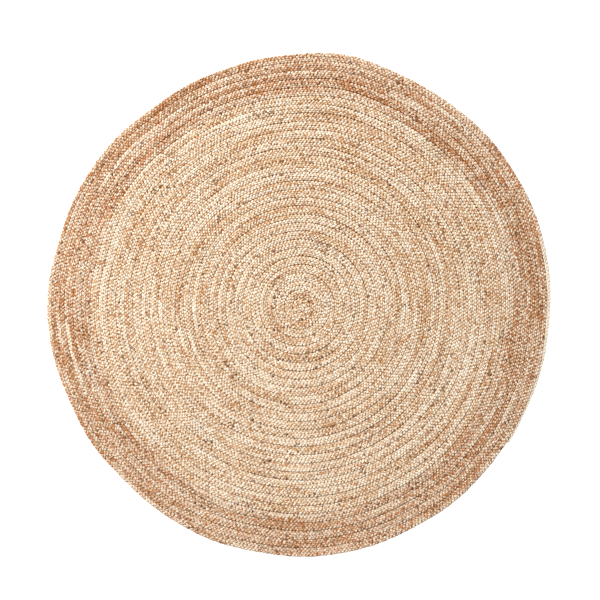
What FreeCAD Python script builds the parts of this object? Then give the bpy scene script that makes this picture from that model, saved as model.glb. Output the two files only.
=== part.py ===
"""Round braided jute rug: one flat plait wound into a coil and laced along its seams.

The coil is a two-centre spiral. It is made of half turns, each a semicircle, and the centres of
the half turns at -Y and at +Y lie half a plait pitch apart, so that each half turn runs smoothly
on from the last. Half turn number n has an inner radius of n half pitches: the odd ones lie at
-Y and the even ones at +Y. The eye is half turns 0 to 2 with the tucked-in end. Each coil after it
is two turns of the plait, half turns 4i - 1 to 4i + 2, and starts and ends on the +X side. Seen
from above, the plait goes outwards clockwise.

Lengths are in millimetres. The underside lies on Z = 0, and the origin is the middle of the
rug's bounding box.
"""
import FreeCAD
import Part
import os
import Sketcher

DIMENSIONS = (
    ("plait_pitch", 10.0, "from one row of plait to the next"),
    ("row_count", 60, "rows from the middle of the eye to the rim"),
    ("border_rows", 10, "outermost rows, plaited from a darker lot of jute"),
    ("plait_thickness", 7.0, "from the underside to the crown"),
    ("side_top", 4.2, "height at which the crown starts"),
    ("crown_break_share", 0.72, "width at the crown's break, as a share of the plait's width"),
    ("crown_break_rise", 0.64, "height of that break, as a share of the crown's rise"),
    ("crown_top_share", 0.34, "width of the crown's level top, as a share of the plait's width"),
    ("underside_bevel", 1.4, "bevel between the underside and the sides"),
    ("seam_gap", 0.15, "clearance between neighbouring rows"),
    ("thread_diameter", 0.8, "sewing thread"),
    ("thread_height", 0.7, "thread axis above the underside"),
    ("tail_angle", 33.0, "arc over which the plait thins out at its end"),
    ("tail_tip_width", 4.5, "width of the plait at its tip"),
    ("tail_tip_thickness", 5.0, "thickness of the plait at its tip"),
    ("tail_tip_side_top", 3.4, "height at which the crown starts at the tip"),
)
TURNS_PER_COIL = 2
COILS_PER_THREAD = 3

PITCH = "Dimensions.plait_pitch"
GAP = "Dimensions.seam_gap"
PLAIT_WIDTH = f"({PITCH} - {GAP})"
H_AXIS, V_AXIS = -1, -2
START, END, CENTRE = 1, 2, 3
AXIS = "0"

doc = FreeCAD.newDocument("JuteRug")
sheet = doc.addObject("Spreadsheet::Sheet", "Dimensions")
for row, (alias, value, note) in enumerate(DIMENSIONS, start=1):
    sheet.set(f"A{row}", alias)
    sheet.set(f"B{row}", str(value))
    sheet.set(f"C{row}", note)
    sheet.setAlias(f"B{row}", alias)
doc.recompute()

parts = []


def side_of(half_turn):
    """The sign of Y on which a half turn lies: odd ones at -Y, even ones at +Y."""
    return -1 if half_turn % 2 else 1


def inner_radius(half_turn):
    return f"({half_turn} * {PITCH} / 2)"


def plait_inner_side(half_turn):
    return f"({inner_radius(half_turn)} + {GAP} / 2)"


def place_on_coil(part):
    """Puts a sub-part's own origin at the eye, so that the rug's box is centred on the origin."""
    part.setExpression(".Placement.Base.x", f"-{PITCH} / 4")
    part.setExpression(".Placement.Base.y", f"-{PITCH} / 4")


def new_body(label):
    body = doc.addObject("PartDesign::Body", label)
    body.Label = label
    place_on_coil(body)
    parts.append(body)
    return body


def new_radial_sketch(body, name, side):
    """A sketch across the plait, on the +X side. Its vertical axis is the half turn's centre."""
    sketch = body.newObject("Sketcher::SketchObject", name)
    plane = next(item for item in body.Origin.OriginFeatures if item.Role == "XZ_Plane")
    sketch.AttachmentSupport = (plane, "")
    sketch.MapMode = "FlatFace"
    sketch.setExpression(".AttachmentOffset.Base.x", f"{side} * {PITCH} / 4")
    return sketch


def value_of(expression):
    """What an expression on the sheet's cells comes to, as a plain number."""
    return float(sheet.evalExpression(expression))


def add_named(sketch, name, expression, *constraint):
    """Adds a sketch dimension and binds it to the sheet."""
    index = sketch.addConstraint(Sketcher.Constraint(*constraint, value_of(expression)))
    sketch.renameConstraint(index, name)
    sketch.setExpression(f"Constraints.{name}", expression)


def draw_outline(sketch, corners):
    """A closed outline of straight lines. A corner is a name, an X and a Z, or no Z on the underside."""
    points = [FreeCAD.Vector(value_of(x), value_of(z) if z else 0, 0) for _name, x, z in corners]
    sides = [
        sketch.addGeometry(Part.LineSegment(start, end))
        for start, end in zip(points, points[1:] + points[:1])
    ]
    for first, second in zip(sides, sides[1:] + sides[:1]):
        sketch.addConstraint(Sketcher.Constraint("Coincident", first, END, second, START))
    for side, (name, x, z) in zip(sides, corners):
        if x == AXIS:
            sketch.addConstraint(Sketcher.Constraint("PointOnObject", side, START, V_AXIS))
        else:
            add_named(sketch, f"{name}_x", x, "DistanceX", H_AXIS, START, side, START)
        if z:
            add_named(sketch, f"{name}_z", z, "DistanceY", H_AXIS, START, side, START)
        else:
            sketch.addConstraint(Sketcher.Constraint("PointOnObject", side, START, H_AXIS))


def draw_plait_section(sketch, inner_side, width, thickness, side_top):
    """Flat underside with bevels, upright sides and a crown of flats, counterclockwise."""
    outer_side = f"({inner_side} + {width})"
    middle = f"({inner_side} + {width} / 2)"
    bevel = "Dimensions.underside_bevel"
    break_height = f"({side_top} + ({thickness} - {side_top}) * Dimensions.crown_break_rise)"
    to_break = f"({width} / 2 * Dimensions.crown_break_share)"
    to_top = f"({width} / 2 * Dimensions.crown_top_share)"
    draw_outline(sketch, (
        ("inner_foot", f"{inner_side} + {bevel}", None),
        ("outer_foot", f"{outer_side} - {bevel}", None),
        ("outer_bevel", outer_side, bevel),
        ("outer_side", outer_side, side_top),
        ("outer_break", f"{middle} + {to_break}", break_height),
        ("outer_top", f"{middle} + {to_top}", thickness),
        ("inner_top", f"{middle} - {to_top}", thickness),
        ("inner_break", f"{middle} - {to_break}", break_height),
        ("inner_side", inner_side, side_top),
        ("inner_bevel", inner_side, bevel),
    ))


def draw_eye_section(sketch, radius):
    """Half of a low button, with the plait's own bevels and crown at its edge."""
    rise = "(Dimensions.plait_thickness - Dimensions.side_top)"
    break_height = f"(Dimensions.side_top + {rise} * Dimensions.crown_break_rise)"
    to_break = f"({PLAIT_WIDTH} / 2 * (1 - Dimensions.crown_break_share))"
    to_top = f"({PLAIT_WIDTH} / 2 * (1 - Dimensions.crown_top_share))"
    draw_outline(sketch, (
        ("middle", AXIS, None),
        ("foot", f"{radius} - Dimensions.underside_bevel", None),
        ("bevel", radius, "Dimensions.underside_bevel"),
        ("side", radius, "Dimensions.side_top"),
        ("break", f"{radius} - {to_break}", break_height),
        ("top", f"{radius} - {to_top}", "Dimensions.plait_thickness"),
        ("centre", AXIS, "Dimensions.plait_thickness"),
    ))


def draw_thread_section(sketch, radius):
    """The round section of the sewing thread, low in the groove between two rows."""
    centre = FreeCAD.Vector(value_of(radius), sheet.thread_height, 0)
    circle = sketch.addGeometry(Part.Circle(centre, FreeCAD.Vector(0, 0, 1), sheet.thread_diameter / 2))
    add_named(sketch, "thread", "Dimensions.thread_diameter", "Diameter", circle)
    add_named(sketch, "seam", radius, "DistanceX", H_AXIS, START, circle, CENTRE)
    add_named(sketch, "height", "Dimensions.thread_height", "DistanceY", H_AXIS, START, circle, CENTRE)


def revolve(body, sketch, name, side, angle="180"):
    """Turns a section about its half turn's centre, towards -Y or +Y."""
    feature = body.newObject("PartDesign::Revolution", name)
    feature.Profile = sketch
    feature.ReferenceAxis = (sketch, ["V_Axis"])
    feature.setExpression("Angle", angle)
    feature.Reversed = side < 0
    sketch.Visibility = False


def add_half_turn(body, half_turn):
    """Adds one half turn of plait to a sub-part."""
    side = side_of(half_turn)
    sketch = new_radial_sketch(body, f"Section{half_turn}", side)
    draw_plait_section(
        sketch, plait_inner_side(half_turn), PLAIT_WIDTH, "Dimensions.plait_thickness", "Dimensions.side_top")
    revolve(body, sketch, f"HalfTurn{half_turn}", side)


def first_half_turn(coil):
    """The number of the half turn that a coil starts with; coil 0 is the eye."""
    return 2 * TURNS_PER_COIL * coil - 1


def build_centre_eye():
    """The tucked-in end, the half turn of plait about its own edge, and one turn round them."""
    body = new_body("centre_eye")
    for name, half_turn in (("Tuck", -1), ("InnermostHalfTurn", 0)):
        side = side_of(half_turn)
        sketch = new_radial_sketch(body, f"{name}Section", side)
        draw_eye_section(sketch, f"{inner_radius(half_turn)} + {PITCH} - {GAP} / 2")
        revolve(body, sketch, name, side)
    for half_turn in range(1, first_half_turn(1)):
        add_half_turn(body, half_turn)


def build_coil(label, coil):
    """Two full turns of the plait, each lying round the one before."""
    body = new_body(label)
    for half_turn in range(first_half_turn(coil), first_half_turn(coil + 1)):
        add_half_turn(body, half_turn)


def build_end_tail(last_coil):
    """The end of the plait, which thins out along the rim of the last coil."""
    half_turn = first_half_turn(last_coil + 1)
    side = side_of(half_turn)
    upright = FreeCAD.Rotation(FreeCAD.Vector(1, 0, 0), 90)
    full = doc.addObject("Sketcher::SketchObject", "TailFullSection")
    draw_plait_section(
        full, plait_inner_side(half_turn), PLAIT_WIDTH, "Dimensions.plait_thickness", "Dimensions.side_top")
    full.Placement = FreeCAD.Placement(FreeCAD.Vector(), upright)
    tip = doc.addObject("Sketcher::SketchObject", "TailTipSection")
    draw_plait_section(
        tip, plait_inner_side(half_turn), "Dimensions.tail_tip_width", "Dimensions.tail_tip_thickness",
        "Dimensions.tail_tip_side_top")
    turn_to_tip = FreeCAD.Rotation(FreeCAD.Vector(0, 0, 1), side * sheet.tail_angle)
    tip.Placement = FreeCAD.Placement(FreeCAD.Vector(), turn_to_tip.multiply(upright))
    path = doc.addObject("Part::Circle", "TailPath")
    path.setExpression("Radius", plait_inner_side(half_turn))
    path.setExpression("Angle1", "360 - Dimensions.tail_angle")
    path.Angle2 = 360
    tail = doc.addObject("Part::Sweep", "end_tail")
    tail.Label = "end_tail"
    tail.Sections = [tip, full]
    tail.Spine = (path, ["Edge1"])
    tail.Solid = True
    tail.setExpression(".Placement.Base.x", f"-{PITCH} / 4 + {side} * {PITCH} / 4")
    tail.setExpression(".Placement.Base.y", f"-{PITCH} / 4")
    parts.append(tail)


def build_seam_thread(label, first_coil, final_coil, has_tail):
    """Sewing thread that laces the turns of a few coils, each to the turn inside it."""
    body = new_body(label)
    start = first_half_turn(first_coil) if first_coil > 1 else 1
    tail = first_half_turn(final_coil + 1)
    half_turns = list(range(start, tail))
    if has_tail:
        half_turns.append(tail)
    for half_turn in half_turns:
        side = side_of(half_turn)
        sketch = new_radial_sketch(body, f"ThreadSection{half_turn}", side)
        draw_thread_section(sketch, inner_radius(half_turn))
        angle = "Dimensions.tail_angle" if half_turn == tail else "180"
        revolve(body, sketch, f"Seam{half_turn}", side, angle)


def check(item):
    """Stops the build if an object has failed or a sub-part is not one valid solid."""
    if "Invalid" in item.State or "Error" in item.State:
        raise RuntimeError(f"{item.Label} is {item.State}")
    if item in parts:
        shape = item.Shape
        if shape.isNull() or not shape.isValid() or len(shape.Solids) != 1:
            raise RuntimeError(f"{item.Label} is not one valid solid")


coil_count = int(sheet.row_count) // TURNS_PER_COIL - 1
field_coils = coil_count - int(sheet.border_rows) // TURNS_PER_COIL
build_centre_eye()
for coil in range(1, coil_count + 1):
    lot = "field" if coil <= field_coils else "border"
    build_coil(f"{lot}_coil_{coil:02d}", coil)
build_end_tail(coil_count)
for number, first in enumerate(range(1, coil_count + 1, COILS_PER_THREAD), start=1):
    final = min(first + COILS_PER_THREAD - 1, coil_count)
    build_seam_thread(f"seam_thread_{number:02d}", first, final, final == coil_count)

doc.recompute()
for item in doc.Objects:
    check(item)

os.makedirs("parts", exist_ok=True)
for part in parts:
    part.Shape.exportStep(os.path.join("parts", f"{part.Label}.step"))
    box = part.Shape.optimalBoundingBox()
    print(f"{part.Label}: {part.Shape.Volume / 1000:.1f} cm3, X {box.XMin:.2f} to {box.XMax:.2f}, "
          f"Y {box.YMin:.2f} to {box.YMax:.2f}, Z {box.ZMin:.2f} to {box.ZMax:.2f}")
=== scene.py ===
"""A round jute rug: one long three-strand plait wound outwards from the middle and sewn to itself.

Each CAD node gets a mesh in its place. The plait's nodes become three strands that really cross over
and under each other, and the sewing thread's become lacing that zigzags under the seams.
"""

import math

import bpy
import numpy as np
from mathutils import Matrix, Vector


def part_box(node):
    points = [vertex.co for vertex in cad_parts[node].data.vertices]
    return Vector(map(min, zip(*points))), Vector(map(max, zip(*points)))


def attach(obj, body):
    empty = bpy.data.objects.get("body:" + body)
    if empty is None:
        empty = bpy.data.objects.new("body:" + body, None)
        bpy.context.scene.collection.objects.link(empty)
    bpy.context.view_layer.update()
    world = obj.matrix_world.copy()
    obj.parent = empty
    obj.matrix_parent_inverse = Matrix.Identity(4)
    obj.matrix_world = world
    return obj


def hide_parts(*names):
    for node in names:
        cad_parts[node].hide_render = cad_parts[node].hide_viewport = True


MM = 0.001

# The coil, as in the CAD part
ROWS = 60
BORDER_ROWS = 10
TURNS_PER_COIL = 2
COILS = ROWS // TURNS_PER_COIL - 1
FIELD_COILS = COILS - BORDER_ROWS // TURNS_PER_COIL
COILS_PER_THREAD = 3
TAIL_ANGLE = math.radians(33)
THINNING_ANGLE = math.radians(60)   # the plait starts to thin before the tail node begins
TAIL_SHARE = 0.45                   # width of its tip, as a share of the full width
THIN_LIMIT = 0.88                   # thickness that the plait keeps however narrow it is, as a share
TUCK_FLOOR = 0.02                   # square of the width that the tucked-in end keeps, as a share
PALE_RUN = 0.26                     # metres before the tail node in which the jute turns pale
PALE_END = PALE_RUN / 5             # and how far before it the jute is fully pale

# The plait: three strands, each swinging across it and passing over and under
STRANDS = 3
PERIOD = 25.7 * MM          # length in which one strand crosses over and back
SWING = 2.95 * MM           # how far a strand's middle swings to each side
LIFT = 1.3 * MM             # how far it rises and dips
LAG = math.radians(21)      # how far the rise follows the swing
HALF_WIDTH = 2.75 * MM      # of one strand's flattened section
HALF_THICKNESS = 2.2 * MM
DWELL = 0.85                # 1 is an even swing, less keeps the strand longer at the plait's edges
SQUARENESS = 0.6            # 1 is an oval section, less is a flatter, squarer one
RINGS_PER_PERIOD = 12
RING_CORNERS = 8

# How the turns lie
MIDDLE_HEIGHT = 3.7 * MM
ROW_WIDTH = 1.15            # the plait's width as a share of the strands' own, so that the turns touch
ROW_TIGHTNESS = 0.08        # more on the side where the turns are sewn most tightly, less opposite
TIGHT_SIDE = math.radians(240)
ROLL = math.radians(-2)     # each turn lies with its outer side a little higher
PAIR_SHIFT = 0.3 * MM       # neighbouring turns are drawn together in pairs by the sewing
PAIR_LEAN = math.radians(6)
PAIR_RISE = 0.3 * MM        # and the outer one of a pair lies higher
PAIR_CHANGE = 2.5           # how quickly a turn goes over from one place in the pair to the other

# Unevenness of hand work. Each kind is a height, the length over which it changes, and the start and
# seed of its noise. Lengths are in metres, or in stitches where the name says so. Kinds that name a
# strand or a stitch have a seed of their own for each strand.
SLOW_SLIP = (0.45, 0.16, 40, 11)             # radians by which the stitches run ahead
QUICK_SLIP = (0.15, 0.03, 40, 12)
STRAND_SWING = (0.17, 0.010, 90, 20)         # share of the swing
STRAND_LIFT = (0.25 * MM, 0.011, 70, 30)
STRAND_LEAN = (0.15, 0.014, 30, 60)          # radians
STITCH_WIDTH = (0.12, 1, 100, 40)            # shares of the strand's width and thickness
STITCH_THICKNESS = (0.12, 1, 100, 50)
TURN_WIDTH = (0.04, 0.21, 10, 3)             # share of the width
TURN_ROLL = (1.2, 0.17, 20, 4)               # share of the roll
TURN_DRIFT = (0.35 * MM, 0.08, 15, 5)
TURN_RISE = (0.25 * MM, 0.07, 25, 6)
STITCH_TONE = (0.35, 1, 200, 70)
STRAND_TONE = (0.50, 0.13, 5, 80)
STRAND_DARK = (1, 0.055, 7, 90)
STITCH_DARK = (0.5, 1, 200, 100)
STRAND_RUST = (1, 0.05, 9, 110)
STITCH_RUST = (0.5, 1, 200, 120)
LONG_TONE = (0.30, 0.9, 5, 83)
SHORT_TONE = (0.45, 0.07, 5, 85)
BORDER_TONE = (0.6, 0.18, 5, 86)

# Where the hand-wound rim stands out or in: angle in degrees, height, half spread in degrees
RIM_LOBES = (
    (40, 3 * MM, 16),
    (79, 10 * MM, 13),
    (121, -7 * MM, 15),
    (182, 7 * MM, 13),
    (225, -4 * MM, 18),
    (277, 3 * MM, 16),
    (343, -4 * MM, 20),
)
RIM_WAVES = ((11, 0.8 * MM), (19, 0.7 * MM))   # small waves round the rim and their height

# Sewing thread, laced to and fro under each seam
THREAD_RADIUS = 0.4 * MM
THREAD_CORNERS = 5
THREAD_STEP = 2.5 * MM      # from one ring of its mesh to the next
LACE_STEP = 10 * MM         # length of one zigzag
LACE_REACH = 2.0 * MM
LACE_RISE = 1.2 * MM        # how far it rises into the plait at each end of a zigzag

# Painted light: highlight painted on the strands' raised parts, and shade painted into their crevices and
# at the seams
PAINTED_SHADE_HEIGHT = 0.2 * MM          # height on a strand up to which the jute gets its full painted shade, brown
PAINTED_HIGHLIGHT_HEIGHT = 2.0 * MM            # height on a strand at which it gets the most painted highlight
SEAM_SIDE = 3.4 * MM        # from here to the plait's edge the jute gets brown painted seam shade
SEAM_EDGE = 5.3 * MM
# how much of the painted highlight gives way to painted shade at the seams
SEAM_PAINTED_SHADE = 0.3
STITCH_START = 0.25         # share of a stitch that passes before its own shade begins
TAIL_TONE = 2.2             # how much lighter the tail's jute is
TAIL_PAINTED_RELIEF_LIGHT = 0.85           # and how little painted shade it gets in the crevices and at the seams

# What a lot of jute looks like. Shades go from dark to light; the colour for the crevices is brown painted
# shade between strands.
# The runs are the noise between which no fibre and every fibre of a fleck has its colour.
FIELD_LOT = {
    "rows": "field",
    "slot": "natural_jute",
    "shades": (
        (0.0, (0.38, 0.142, 0.04)),
        (0.3, (0.58, 0.335, 0.152)),
        (0.6, (0.69, 0.515, 0.328)),
        (1.0, (0.86, 0.80, 0.70)),
    ),
    "rust": (0.43, 0.19, 0.08),
    "dark": (0.16, 0.075, 0.04),
    "painted_crevice_shade": (0.36, 0.16, 0.05),
    "tones": (LONG_TONE, SHORT_TONE),
    "dark_runs": (0.55, 1.1),
    "rust_runs": (0.4, 1.0),
}
BORDER_LOT = {
    "rows": "border",
    "slot": "border_jute",
    "shades": (
        (0.0, (0.31, 0.10, 0.028)),
        (0.3, (0.485, 0.238, 0.104)),
        (0.6, (0.605, 0.395, 0.225)),
        (1.0, (0.815, 0.725, 0.61)),
    ),
    "rust": (0.47, 0.155, 0.045),
    "dark": (0.16, 0.07, 0.035),
    "painted_crevice_shade": (0.30, 0.12, 0.035),
    "tones": (LONG_TONE, SHORT_TONE, BORDER_TONE),
    "dark_runs": (0.25, 1.0),
    "rust_runs": (-0.1, 0.9),
}
THREAD_LIGHT = (0.58, 0.37, 0.19)
THREAD_DARK = (0.32, 0.18, 0.08)

# How much each thing lightens the jute, and the shade that it starts from
FIBRE_CONTRAST = 2.8
TUFT_CONTRAST = 5.2
TONE_WEIGHT = 0.40
# painted highlight on the strands' raised parts
PAINTED_RELIEF_LIGHT_WEIGHT = 0.6
# painted highlight on each stitch's crest
PAINTED_STITCH_HIGHLIGHT_WEIGHT = 1.3
START_SHADE = -0.93
SPOT_CONTRAST = 8           # of the flecks' edges
SPOT_START = -3.7
# how much brown painted shade is mixed into the crevices and seams
PAINTED_CREVICE_SHADE_WEIGHT = 0.9
BUMP_STRENGTH = 0.8
JUTE_BUMP = 0.5 * MM
THREAD_BUMP = 0.1 * MM
TUFT_BUMP = 0.6             # share of the tufts in the jute's bump, next to the fibres

# The studio. The paper's rings are a radius and a height; the disc inside the first is under the rug, in
# dark brown as painted shade.
PAPER_LEVEL = -0.4 * MM
PAPER_RINGS = ((0.56, PAPER_LEVEL), (30.0, PAPER_LEVEL), (32.0, 0.5), (33.0, 8.0))
PAPER_SIDES = 96
PAPER_GLOW = 0.9
PAPER_PAINTED_SHADE = (0.35, 0.22, 0.12)
KEY_AZIMUTH = math.radians(140)
KEY_ELEVATION = math.radians(40)
KEY_DISTANCE = 6.0
KEY_SIZE = 0.8
KEY_WATTS = 490
KEY_COLOUR = (0.98, 0.99, 0.97)
ROOM_COLOUR = (1, 0.94, 0.86, 1)
ROOM_STRENGTH = 0.42
CAMERA_PLACE = (-3.0 * MM, 12.6 * MM, 3.5)
SEEN_WIDTH = 1.436          # metres of floor across the picture
SENSOR_MM = 36

KNOTS = 16384               # of a noise, after which it repeats


def wander(x, seed):
    """Smooth noise between -1 and 1 along x, with one knot per unit."""
    knots = np.random.default_rng(seed).uniform(-1, 1, KNOTS)
    low = np.floor(x).astype(int)
    part = x - low
    part = part * part * (3 - 2 * part)
    return knots[low % KNOTS] * (1 - part) + knots[(low + 1) % KNOTS] * part


def uneven(x, kind, strand=0):
    """One kind of unevenness along x."""
    height, length, start, seed = kind
    return height * wander(x / length + start, seed + strand)


def ramp(x, low, high):
    """0 below low, 1 above high, smooth between."""
    t = np.clip((x - low) / (high - low), 0, 1)
    return t * t * (3 - 2 * t)


def flattened(wave, power):
    """A wave whose tops are flatter the further the power is below 1."""
    return np.sign(wave) * np.abs(wave) ** power


def unit(vectors):
    """The vectors at length 1."""
    return vectors / np.linalg.norm(vectors, axis=1)[:, None]


# ---------------------------------------------------------------- the coil


def pitch_from_frame():
    """The distance between neighbouring turns, read from two CAD coils."""
    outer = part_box("border_coil_29")
    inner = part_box("border_coil_28")
    return round((inner[0][0] - outer[0][0]) / TURNS_PER_COIL, 4)


def first_half_turn(coil_number):
    """The number of the half turn that a coil starts with; coil 0 is the eye."""
    return 2 * TURNS_PER_COIL * coil_number - 1


def start_of(half_turn, pitch):
    """Length of plait before this half turn."""
    return math.pi * pitch / 4 * half_turn * (half_turn + 1)


def start_of_coil(coil_number, pitch):
    """Length of plait before this coil."""
    return start_of(first_half_turn(coil_number), pitch)


def half_turn_at(s, pitch):
    """The number of the half turn at length s."""
    return np.floor((np.sqrt(1 + 16 * s / (math.pi * pitch)) - 1) / 2)


def coil(s, pitch):
    """Middle of the plait, its direction and its outward side at length s, as (x, y) arrays."""
    inside = np.maximum(s, 0)
    half = half_turn_at(inside, pitch)
    radius = (half + 1) * pitch / 2
    turned = half * math.pi + (inside - start_of(half, pitch)) / radius
    angle = math.pi - turned
    across = np.stack([np.cos(angle), np.sin(angle)], -1)
    along = np.stack([np.sin(angle), -np.cos(angle)], -1)
    # The coil has two centres, half a pitch apart, one for the even and one for the odd half turns
    odd = np.mod(half, 2)
    centre = np.stack([-odd * pitch / 2, np.full_like(s, -pitch / 4)], -1)
    point = centre + across * radius[:, None]
    point = point + along * np.minimum(s, 0)[:, None]
    return point, along, across


def hand_wound(points, rim):
    """Moves points out or in with the rim's lobes, less and less towards the middle."""
    radius = np.hypot(points[..., 0], points[..., 1])
    angle = np.degrees(np.arctan2(points[..., 1], points[..., 0]))
    push = np.zeros_like(radius)
    for at, height, spread in RIM_LOBES:
        gap = (angle - at + 180) % 360 - 180
        push = push + height * np.exp(-((gap / spread) ** 2))
    for count, height in RIM_WAVES:
        push = push + height * np.sin(count * np.radians(angle) + count)
    scale = 1 + push / rim * (radius / rim) ** 2
    return points * scale[..., None]


# ---------------------------------------------------------------- the plait


def narrowing(s, pitch):
    """Share of its full width that the plait has at s: it is tucked in at the eye and thins in the tail."""
    rim = ROWS * pitch
    end = start_of_coil(COILS + 1, pitch) + rim * TAIL_ANGLE
    past = np.clip(1 - (end - s) / (rim * THINNING_ANGLE), 0, 1)
    tuck = np.sqrt(np.clip(1 - (np.minimum(s, 0) / (pitch / 2)) ** 2, TUCK_FLOOR, 1))
    return (1 - (1 - TAIL_SHARE) * past) * tuck


def thinned(share):
    """Share of the full thickness where the plait has this share of its width."""
    return THIN_LIMIT + (1 - THIN_LIMIT) * share


def paleness(s, pitch):
    """1 in the tail, which is plaited of bleached jute, fading to 0 before it."""
    tail = start_of_coil(COILS + 1, pitch)
    return ramp(s, tail - PALE_RUN, tail - PALE_END)


def pairing(s, pitch):
    """1 on one turn and -1 on the next, changing over where each turn starts."""
    inside = np.maximum(s, 0)
    half = half_turn_at(inside, pitch)
    turns = (half + 1) / 2 + (inside - start_of(half, pitch)) / ((half + 1) * math.pi * pitch)
    return np.clip(PAIR_CHANGE * np.sin(math.pi * turns), -1, 1)


def strand_middle(s, index):
    """Across and up position of a strand's middle, and its phase, at length s."""
    slip = uneven(s, SLOW_SLIP) + uneven(s, QUICK_SLIP)
    phase = 2 * math.pi * (s / PERIOD + index / STRANDS) + slip
    loose = 1 + uneven(s, STRAND_SWING, index)
    x = SWING * loose * flattened(np.sin(phase), DWELL)
    z = LIFT * np.sin(2 * phase - LAG) + uneven(s, STRAND_LIFT, index)
    return x, z, phase


def strand_section(phase, index):
    """Half width and half height of a strand's corners, ring by ring."""
    wide = HALF_WIDTH * (1 + uneven(phase / math.pi, STITCH_WIDTH, index))
    high = HALF_THICKNESS * (1 + uneven(phase / math.pi, STITCH_THICKNESS, index))
    turn = np.arange(RING_CORNERS) / RING_CORNERS * 2 * math.pi
    across = wide[:, None] * flattened(np.cos(turn), SQUARENESS)
    up = high[:, None] * flattened(np.sin(turn), SQUARENESS)
    return across, up


def strand_rings(s, index):
    """Corners of one strand's rings on a straight plait, in metres, with its phase at each ring."""
    x, z, phase = strand_middle(s, index)
    path = np.stack([x, s, z], -1)
    along = unit(np.gradient(path, axis=0))
    # The strand shows one face on its way out and the other on its way back, folding over at the edge
    facing = np.sin(math.pi / 2 * np.sin(math.pi / 2 * np.cos(phase - LAG / 2)))
    lean = math.pi / 2 * (1 - facing) + uneven(s, STRAND_LEAN, index)
    top = np.stack([np.sin(lean), 0 * lean, np.cos(lean)], -1)
    side = unit(np.cross(along, top))
    top = np.cross(side, along)
    across, up = strand_section(phase, index)
    rings = path[:, None] + side[:, None] * across[..., None] + top[:, None] * up[..., None]
    return rings, phase


def lie_of_turn(s, pitch, point):
    """How wide a turn is, how far it leans, and how far it lies out and up, at length s."""
    tight = np.cos(np.arctan2(point[:, 1], point[:, 0]) - TIGHT_SIDE)
    pairs = pairing(s, pitch)
    width = ROW_WIDTH + ROW_TIGHTNESS * tight + uneven(s, TURN_WIDTH)
    lean = ROLL * (1 + uneven(s, TURN_ROLL)) - PAIR_LEAN * pairs
    out = uneven(s, TURN_DRIFT) + PAIR_SHIFT * pairs
    rise = uneven(s, TURN_RISE) - PAIR_RISE * pairs
    return width, lean, out, rise


def lay_on_coil(rings, s, pitch, rim):
    """Takes rings from the straight plait's axes to the coil: leaning, resting on the floor, hand wound."""
    share = narrowing(s, pitch)
    point, direction, outward = coil(s, pitch)
    width, lean, out, rise = lie_of_turn(s, pitch, point)
    across = rings[..., 0] * (share * width)[:, None]
    up = rings[..., 2] * thinned(share)[:, None]
    cos, sin = np.cos(lean)[:, None], np.sin(lean)[:, None]
    across, up = across * cos + up * sin, up * cos - across * sin
    out = out - np.where(s > 0, (1 - share) * pitch / 2, 0)
    ahead = rings[..., 1] - s[:, None]
    flat = (
        point[:, None]
        + outward[:, None] * (across + out[:, None])[..., None]
        + direction[:, None] * ahead[..., None]
    )
    flat = hand_wound(flat, rim)
    middle = MIDDLE_HEIGHT * thinned(share) + rise
    height = np.maximum(up + middle[:, None], 0)
    return np.concatenate([flat, height[..., None]], -1)


def strand_colouring(s, phase, index, lot, pale):
    """How light the jute is, the highlight painted on each stitch's crest, and how dark and rusty it is, at
    each ring.
    """
    stitch = phase / math.pi - STITCH_START
    tone = uneven(stitch, STITCH_TONE, index) + uneven(s, STRAND_TONE, index)
    for kind in lot["tones"]:
        tone = tone + uneven(s, kind)
    darks = uneven(s, STRAND_DARK, index) + uneven(stitch, STITCH_DARK, index)
    reds = uneven(s, STRAND_RUST, index) + uneven(stitch, STITCH_RUST, index)
    return {
        "tone": tone + TAIL_TONE * pale,
        # Painted highlight: 1 at the crest of each stitch, where the strand rides highest
        "painted_stitch_highlight": 0.5 - 0.5 * np.cos(2 * phase - LAG + math.pi / 2),
        "dark": ramp(darks, *lot["dark_runs"]) * (1 - pale),
        "rust": ramp(reds, *lot["rust_runs"]) * (1 - pale),
    }


def strand_painted_light(placed, rings, share, pale):
    """Painted light: 1 where a corner stands proud and gets painted highlight, 0 where it lies in the
    crevices or at a seam and gets painted shade.
    """
    above = placed[..., 2] - placed[..., 2].mean(1, keepdims=True)
    above = above / thinned(share)[:, None]
    # Painted shade along the seams between turns
    seam = ramp(np.abs(rings[..., 0]), SEAM_SIDE, SEAM_EDGE)
    return np.maximum(ramp(above, PAINTED_SHADE_HEIGHT, PAINTED_HIGHLIGHT_HEIGHT) * (1 - SEAM_PAINTED_SHADE * seam), TAIL_PAINTED_RELIEF_LIGHT * pale[:, None])


def strand_tube(first, last, index, pitch, rim, lot):
    """One strand between two lengths of the plait: its corners, ring lengths and colouring."""
    count = max(4, round((last - first) / PERIOD * RINGS_PER_PERIOD))
    step = (last - first) / count
    # One ring more at each end gives the strand its direction there, and is then left out
    s = first + step * np.arange(-1, count + 2)
    rings, phase = strand_rings(s, index)
    placed = lay_on_coil(rings, s, pitch, rim)
    pale = paleness(s, pitch)
    looks = strand_colouring(s, phase, index, lot, pale)
    # Painted light: highlight on the raised parts, shade in the crevices and at the seams
    looks["crown"] = strand_painted_light(placed, rings, narrowing(s, pitch), pale)
    return placed[1:-1], s[1:-1], {key: look[1:-1] for key, look in looks.items()}


# ---------------------------------------------------------------- meshes


def tube_faces(rings, corners, first):
    """Quads of a closed tube of rings, as corner numbers."""
    ring = np.arange(rings - 1)[:, None] * corners
    here = np.arange(corners)[None]
    there = (here + 1) % corners
    quads = np.stack([ring + here, ring + there, ring + there + corners, ring + here + corners], -1)
    return quads.reshape(-1, 4) + first


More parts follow.
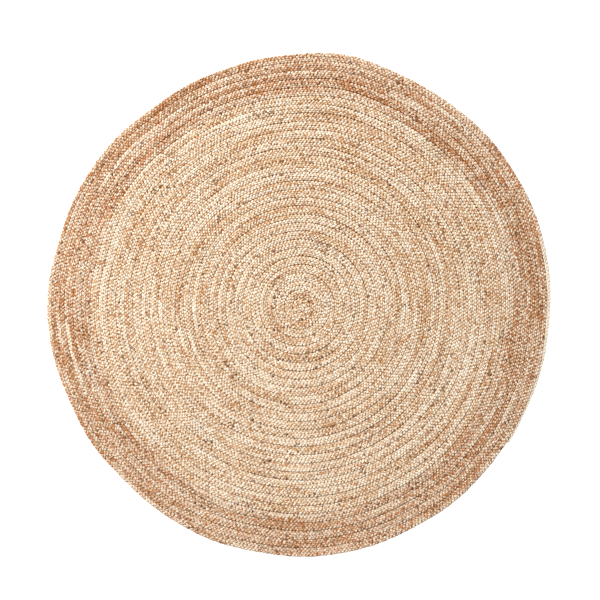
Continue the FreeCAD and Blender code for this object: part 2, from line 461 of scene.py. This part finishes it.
def tube_uv(lengths, corners):
    """UV of every quad corner: length along the tube in metres, and share of the way round."""
    v = np.arange(corners + 1) / corners
    u0 = np.broadcast_to(lengths[:-1, None], (len(lengths) - 1, corners))
    u1 = np.broadcast_to(lengths[1:, None], (len(lengths) - 1, corners))
    v0 = np.broadcast_to(v[None, :-1], u0.shape)
    v1 = np.broadcast_to(v[None, 1:], u0.shape)
    pairs = [np.stack(pair, -1) for pair in ((u0, v0), (u0, v1), (u1, v1), (u1, v0))]
    return np.stack(pairs, 2).reshape(-1, 2)


def fill_mesh(mesh, corners, quads, caps):
    """Puts corners, quads and end caps into an empty mesh."""
    loops = np.concatenate([quads.reshape(-1)] + [np.asarray(cap) for cap in caps])
    sizes = np.concatenate([np.full(len(quads), 4), [len(cap) for cap in caps]]).astype(int)
    starts = np.concatenate([[0], np.cumsum(sizes)[:-1]])
    mesh.vertices.add(len(corners))
    mesh.vertices.foreach_set("co", corners.astype(np.float32).reshape(-1))
    mesh.loops.add(len(loops))
    mesh.loops.foreach_set("vertex_index", loops.astype(np.int32))
    mesh.polygons.add(len(sizes))
    mesh.polygons.foreach_set("loop_start", starts.astype(np.int32))
    mesh.update(calc_edges=True)
    mesh.polygons.foreach_set("use_smooth", np.ones(len(sizes), dtype=bool))


def add_attribute(mesh, key, tubes):
    """Stores one look of the tubes on the mesh's corners. A look has a value per ring or per corner."""
    values = []
    for placed, _lengths, looks in tubes:
        look = looks[key]
        per_corner = look if look.ndim == 2 else look[:, None]
        values.append(np.broadcast_to(per_corner, placed.shape[:2]).reshape(-1))
    stored = mesh.attributes.new(key, "FLOAT", "POINT")
    stored.data.foreach_set("value", np.concatenate(values).astype(np.float32))


def tubes_object(name, tubes):
    """One object from several capped tubes, each its corners, its rings' lengths and its looks."""
    corners, quads, caps, uvs = [], [], [], []
    first = 0
    for placed, lengths, _looks in tubes:
        rings, around = placed.shape[:2]
        corners.append(placed.reshape(-1, 3))
        quads.append(tube_faces(rings, around, first))
        uvs.append(tube_uv(lengths, around))
        caps.append(first + np.arange(around)[::-1])
        caps.append(first + (rings - 1) * around + np.arange(around))
        first += rings * around
    mesh = bpy.data.meshes.new(name)
    fill_mesh(mesh, np.concatenate(corners), np.concatenate(quads), caps)
    layer = mesh.uv_layers.new(name="along_and_round")
    cap_uv = np.zeros((sum(len(cap) for cap in caps), 2))
    layer.data.foreach_set("uv", np.concatenate(uvs + [cap_uv]).astype(np.float32).reshape(-1))
    for key in tubes[0][2]:
        add_attribute(mesh, key, tubes)
    mesh.validate()
    made = bpy.data.objects.new(name, mesh)
    bpy.context.scene.collection.objects.link(made)
    return made


def plait_piece(name, first, last, pitch, rim, lot):
    """The strands of one stretch of plait as one object."""
    tubes = [strand_tube(first, last, index, pitch, rim, lot) for index in range(STRANDS)]
    return tubes_object(name, tubes)


def lacing_piece(name, first, last, pitch, rim):
    """Thread laced to and fro under the seam on the inner side of the turns from first to last."""
    s = np.arange(first, last, THREAD_STEP)
    zigzag = 2 / math.pi * np.arcsin(np.sin(2 * math.pi * s / LACE_STEP))
    point, _direction, outward = coil(s, pitch)
    side = LACE_REACH * zigzag - pitch / 2
    flat = hand_wound(point + outward * side[:, None], rim)
    height = THREAD_RADIUS + LACE_RISE * np.abs(zigzag) ** 3
    middle = np.concatenate([flat, height[:, None]], -1)
    along = unit(np.gradient(middle, axis=0))
    left = unit(np.cross(along, [0.0, 0.0, 1.0]))
    up = np.cross(left, along)
    turn = np.arange(THREAD_CORNERS) / THREAD_CORNERS * 2 * math.pi
    rings = middle[:, None] + THREAD_RADIUS * (
        left[:, None] * np.cos(turn)[None, :, None] + up[:, None] * np.sin(turn)[None, :, None]
    )
    rings[..., 2] = np.maximum(rings[..., 2], 0)
    return tubes_object(name, [(rings, s, {})])


# ---------------------------------------------------------------- materials


def new_material(name):
    """An empty node material with its nodes, links and Principled shader."""
    material = bpy.data.materials.new(name)
    material.use_nodes = True
    nodes = material.node_tree.nodes
    return material, nodes, material.node_tree.links, nodes["Principled BSDF"]


def maths(nodes, links, operation, *values):
    """A Math node on sockets or numbers. Returns its output."""
    node = nodes.new("ShaderNodeMath")
    node.operation = operation
    for socket, value in zip(node.inputs, values):
        if hasattr(value, "is_output"):
            links.new(value, socket)
        else:
            socket.default_value = value
    return node.outputs[0]


def fibre_noise(nodes, links, twist, along, around, detail):
    """Noise drawn out along the strand, twisted round it. Returns its value."""
    uv = nodes.new("ShaderNodeUVMap")
    uv.uv_map = "along_and_round"
    split = nodes.new("ShaderNodeSeparateXYZ")
    links.new(uv.outputs[0], split.inputs[0])
    turned = maths(nodes, links, "MULTIPLY_ADD", split.outputs[0], twist, split.outputs[1])
    join = nodes.new("ShaderNodeCombineXYZ")
    links.new(maths(nodes, links, "MULTIPLY", split.outputs[0], along), join.inputs[0])
    links.new(maths(nodes, links, "MULTIPLY", turned, around), join.inputs[1])
    noise = nodes.new("ShaderNodeTexNoise")
    noise.inputs["Scale"].default_value = 1
    noise.inputs["Detail"].default_value = detail
    noise.inputs["Roughness"].default_value = 0.6
    links.new(join.outputs[0], noise.inputs["Vector"])
    return noise.outputs[0]


def clamped(nodes, links, value):
    """A value kept between 0 and 1."""
    node = nodes.new("ShaderNodeClamp")
    links.new(value, node.inputs[0])
    return node.outputs[0]


def attribute(nodes, name):
    """The value of a mesh attribute."""
    node = nodes.new("ShaderNodeAttribute")
    node.attribute_name = name
    return node.outputs["Fac"]


def colour_ramp(nodes, links, value, stops):
    """A colour ramp over (place, colour) stops. Returns its colour."""
    node = nodes.new("ShaderNodeValToRGB")
    elements = node.color_ramp.elements
    while len(elements) < len(stops):
        elements.new(0.5)
    for element, (place, colour) in zip(elements, stops):
        element.position = place
        element.color = (*colour, 1)
    links.new(value, node.inputs[0])
    return node.outputs[0]


def mix_colour(nodes, links, share, first, second):
    """first where share is 0, the colour second where it is 1."""
    node = nodes.new("ShaderNodeMix")
    node.data_type = "RGBA"
    links.new(share, node.inputs[0])
    links.new(first, node.inputs[6])
    node.inputs[7].default_value = (*second, 1)
    return node.outputs[2]


def add_bump(nodes, links, shader, height, distance):
    """Raises and lowers the surface's shading by a height between 0 and 1 times the distance."""
    bump = nodes.new("ShaderNodeBump")
    bump.inputs["Strength"].default_value = BUMP_STRENGTH
    bump.inputs["Distance"].default_value = distance
    links.new(height, bump.inputs["Height"])
    links.new(bump.outputs[0], shader.inputs["Normal"])


def jute_shade(nodes, links, fibres, tufts):
    """How light the fibre is, from its own streaks, tufts and stitch tone, with painted highlight on the
    strands' raised parts and on each stitch's crest.
    """
    shade = maths(nodes, links, "MULTIPLY_ADD", fibres, FIBRE_CONTRAST, -FIBRE_CONTRAST / 2)
    shade = maths(nodes, links, "MULTIPLY_ADD", attribute(nodes, "tone"), TONE_WEIGHT, shade)
    tuft = maths(nodes, links, "MULTIPLY_ADD", tufts, TUFT_CONTRAST, -TUFT_CONTRAST / 2)
    shade = maths(nodes, links, "ADD", shade, tuft)
    # Painted highlight on the strands' raised parts
    shade = maths(nodes, links, "MULTIPLY_ADD", attribute(nodes, "crown"), PAINTED_RELIEF_LIGHT_WEIGHT, shade)
    # Painted highlight on each stitch's crest
    shade = maths(nodes, links, "MULTIPLY_ADD", attribute(nodes, "painted_stitch_highlight"), PAINTED_STITCH_HIGHLIGHT_WEIGHT, shade)
    return maths(nodes, links, "ADD", shade, START_SHADE)


def flecked(nodes, links, colour, lot):
    """The colour with rust and dark flecks in the runs of fibre that have them."""
    spots = fibre_noise(nodes, links, twist=26, along=200, around=2.5, detail=1)
    spots = maths(nodes, links, "MULTIPLY_ADD", spots, SPOT_CONTRAST, SPOT_START)
    spots = clamped(nodes, links, spots)
    for fleck in ("rust", "dark"):
        share = maths(nodes, links, "MULTIPLY", attribute(nodes, fleck), spots)
        colour = mix_colour(nodes, links, share, colour, lot[fleck])
    return colour


def jute(lot):
    """Matt plant fibre: each stitch has its own shade, with fine fibres along the strand."""
    material, nodes, links, shader = new_material(lot["slot"])
    shader.inputs["Roughness"].default_value = 0.82
    shader.inputs["Specular IOR Level"].default_value = 0.1
    fibres = fibre_noise(nodes, links, twist=22, along=70, around=9, detail=3)
    tufts = fibre_noise(nodes, links, twist=30, along=170, around=9, detail=2)
    colour = colour_ramp(nodes, links, jute_shade(nodes, links, fibres, tufts), lot["shades"])
    colour = flecked(nodes, links, colour, lot)
    # Painted shade: brown mixed in where the strand lies low, in its crevices and at the seams
    low = maths(nodes, links, "MULTIPLY_ADD", attribute(nodes, "crown"), -PAINTED_CREVICE_SHADE_WEIGHT, PAINTED_CREVICE_SHADE_WEIGHT)
    colour = mix_colour(nodes, links, low, colour, lot["painted_crevice_shade"])
    links.new(colour, shader.inputs["Base Color"])
    height = maths(nodes, links, "ADD", fibres, maths(nodes, links, "MULTIPLY", tufts, TUFT_BUMP))
    add_bump(nodes, links, shader, height, JUTE_BUMP)
    return material


def twisted_thread(name):
    """Matt cotton thread, with the lay of its yarns running round it."""
    material, nodes, links, shader = new_material(name)
    shader.inputs["Roughness"].default_value = 0.8
    shader.inputs["Specular IOR Level"].default_value = 0.2
    yarns = fibre_noise(nodes, links, twist=350, along=60, around=5, detail=2)
    colour = colour_ramp(nodes, links, yarns, ((0.3, THREAD_DARK), (0.7, THREAD_LIGHT)))
    links.new(colour, shader.inputs["Base Color"])
    add_bump(nodes, links, shader, yarns, THREAD_BUMP)
    return material


def plain_paper(name, colour):
    """Matt paper of one colour."""
    material, _nodes, _links, shader = new_material(name)
    shader.inputs["Base Color"].default_value = (*colour, 1)
    shader.inputs["Roughness"].default_value = 0.9
    return material


def glowing_paper(name):
    """White paper that gives light."""
    material, _nodes, _links, shader = new_material(name)
    shader.inputs["Base Color"].default_value = (0.8, 0.8, 0.8, 1)
    shader.inputs["Emission Color"].default_value = (1, 1, 1, 1)
    shader.inputs["Emission Strength"].default_value = PAPER_GLOW
    return material


# ---------------------------------------------------------------- the rug


def dress(made, material, slot, *nodes):
    """Gives a piece its material and its place in the frame, and hides the CAD nodes that it stands for."""
    made.data.materials.append(material)
    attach(made, "root")
    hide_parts(*nodes)


def make_plait(pitch, rim, end):
    """The eye, every coil and the tail."""
    materials = {lot["slot"]: jute(lot) for lot in (FIELD_LOT, BORDER_LOT)}

    def make_stretch(name, node, first, last, lot):
        piece = plait_piece(name, first, last, pitch, rim, lot)
        dress(piece, materials[lot["slot"]], lot["slot"], node)

    make_stretch("eye_plait", "centre_eye", -pitch / 2, start_of_coil(1, pitch), FIELD_LOT)
    for number in range(1, COILS + 1):
        lot = FIELD_LOT if number <= FIELD_COILS else BORDER_LOT
        node = f"{lot['rows']}_coil_{number:02d}"
        first, last = start_of_coil(number, pitch), start_of_coil(number + 1, pitch)
        make_stretch(f"plait_{node}", node, first, last, lot)
    make_stretch("tail_plait", "end_tail", start_of_coil(COILS + 1, pitch), end, BORDER_LOT)


def make_lacing(pitch, rim, end):
    """The sewing thread, in as many lengths as in the CAD part."""
    material = twisted_thread("sewing_thread")
    for number, coil_number in enumerate(range(1, COILS + 1, COILS_PER_THREAD), start=1):
        beyond = min(coil_number + COILS_PER_THREAD, COILS + 1)
        first = start_of_coil(coil_number, pitch) if coil_number > 1 else start_of(1, pitch)
        last = start_of_coil(beyond, pitch) if beyond <= COILS else end
        lacing = lacing_piece(f"lacing_{number:02d}", first, last, pitch, rim)
        dress(lacing, material, "sewing_thread", f"seam_thread_{number:02d}")


def make_rug():
    """The plait and the thread that holds it."""
    pitch = pitch_from_frame()
    rim = ROWS * pitch
    end = start_of_coil(COILS + 1, pitch) + rim * TAIL_ANGLE
    make_plait(pitch, rim, end)
    make_lacing(pitch, rim, end)


# ---------------------------------------------------------------- studio


def make_floor():
    """White paper that glows round the rug and sweeps up far behind it, with a plain disc of dark brown
    under the rug as painted shade.
    """
    turn = np.arange(PAPER_SIDES) / PAPER_SIDES * 2 * math.pi
    corners, faces = [], [tuple(range(PAPER_SIDES))]
    for radius, height in PAPER_RINGS:
        corners += [(radius * math.cos(t), radius * math.sin(t), height) for t in turn]
    for first in range(0, len(corners) - PAPER_SIDES, PAPER_SIDES):
        for i in range(PAPER_SIDES):
            j = (i + 1) % PAPER_SIDES
            faces.append((first + i, first + PAPER_SIDES + i, first + PAPER_SIDES + j, first + j))
    mesh = bpy.data.meshes.new("floor")
    mesh.from_pydata(corners, [], faces)
    # The disc under the rug is dark brown paper: painted shade where the floor shows through the seams
    mesh.materials.append(plain_paper("painted_shade_paper", PAPER_PAINTED_SHADE))
    mesh.materials.append(glowing_paper("paper"))
    for polygon in mesh.polygons:
        polygon.material_index = 0 if polygon.index == 0 else 1
    floor = bpy.data.objects.new("floor", mesh)
    bpy.context.scene.collection.objects.link(floor)


def make_key_light():
    """A lamp from the upper left."""
    lamp = bpy.data.lights.new("key", "AREA")
    lamp.shape = "DISK"
    lamp.size = KEY_SIZE
    lamp.energy = KEY_WATTS
    lamp.color = KEY_COLOUR
    key = bpy.data.objects.new("key", lamp)
    bpy.context.scene.collection.objects.link(key)
    level = math.cos(KEY_ELEVATION)
    away = Vector((level * math.cos(KEY_AZIMUTH), level * math.sin(KEY_AZIMUTH), math.sin(KEY_ELEVATION)))
    key.location = away * KEY_DISTANCE
    key.rotation_mode = "QUATERNION"
    key.rotation_quaternion = away.to_track_quat("Z", "Y")


def make_room():
    """An even, slightly warm light from all round, with colours shown as they are."""
    world = bpy.data.worlds.new("room")
    bpy.context.scene.world = world
    world.use_nodes = True
    background = world.node_tree.nodes["Background"]
    background.inputs["Color"].default_value = ROOM_COLOUR
    background.inputs["Strength"].default_value = ROOM_STRENGTH
    bpy.context.scene.view_settings.view_transform = "Standard"


def make_camera():
    """Looks straight down on the rug, with the top of the picture towards +Y."""
    lens = bpy.data.cameras.new("camera")
    lens.sensor_width = SENSOR_MM
    lens.lens = SENSOR_MM * CAMERA_PLACE[2] / SEEN_WIDTH
    lens.clip_end = 100
    camera = bpy.data.objects.new("camera", lens)
    camera.location = CAMERA_PLACE
    bpy.context.scene.collection.objects.link(camera)
    bpy.context.scene.camera = camera


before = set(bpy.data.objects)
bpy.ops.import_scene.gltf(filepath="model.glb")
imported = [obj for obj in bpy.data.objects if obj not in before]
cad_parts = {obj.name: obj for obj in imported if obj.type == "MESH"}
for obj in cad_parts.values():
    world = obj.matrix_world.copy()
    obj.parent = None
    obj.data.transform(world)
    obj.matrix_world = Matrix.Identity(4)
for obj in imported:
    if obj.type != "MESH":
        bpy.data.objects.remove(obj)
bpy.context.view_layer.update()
make_rug()
make_floor()
make_key_light()
make_room()
make_camera()
